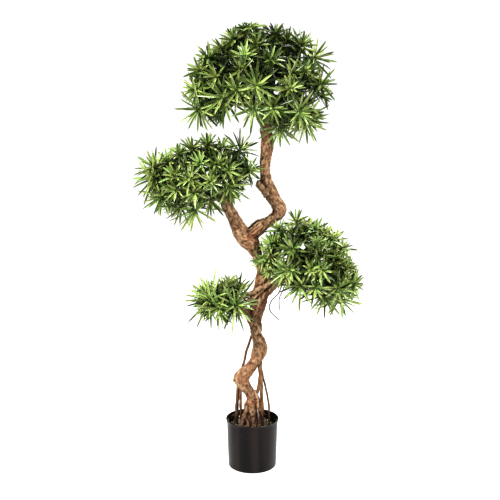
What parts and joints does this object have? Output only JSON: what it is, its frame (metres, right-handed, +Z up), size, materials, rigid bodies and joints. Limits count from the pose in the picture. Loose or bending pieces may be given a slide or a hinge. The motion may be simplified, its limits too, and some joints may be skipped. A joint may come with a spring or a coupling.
{
  "type": "artificial potted podocarpus tree",
  "caption": "Artificial podocarpus cloud tree in a round black nursery pot: a winding bare trunk with aerial roots, a domed crown and rounded side pads of strap-shaped leaves.",
  "frame": {"origin": "centre of the flat underside of the pot", "axes": "+Z up the tree, -Y towards the tree's best side, +X to the right as seen from there"},
  "size_m": [0.7815, 0.4822, 1.4955],
  "materials": {
    "black_plastic": "black nursery pot plastic with a soft sheen",
    "soil": "dark, rough and matte",
    "bark": "reddish brown bark, rough and matte, with pale ridges",
    "pale_bark": "pale grey dry fibre, matte",
    "foliage": "green leaves with a soft sheen, paler towards the whorls' hearts"
  },
  "bodies": {
    "root": {"pot": "black_plastic", "pot_filling": "soil", "trunk": "bark", "upper_trunk": "bark", "top_bough": "bark", "left_bough": "bark", "right_bough": "bark", "low_bough": "bark", "broken_stub": "bark", "knot_stub": "bark", "long_root": "bark", "knee_root": "bark", "right_root": "bark", "short_root": "bark", "outer_root": "bark", "pale_root": "pale_bark", "hanging_fibre_front": "pale_bark", "hanging_fibre_back": "pale_bark", "crown_left": "foliage", "crown_right": "foliage", "crown_front": "foliage", "crown_back": "foliage", "crown_top": "foliage", "left_pad_outer": "foliage", "left_pad_front": "foliage", "left_pad_back": "foliage", "right_pad_outer": "foliage", "right_pad_front": "foliage", "right_pad_back": "foliage", "low_pad_front": "foliage", "low_pad_back": "foliage"}
  },
  "joints": []
}
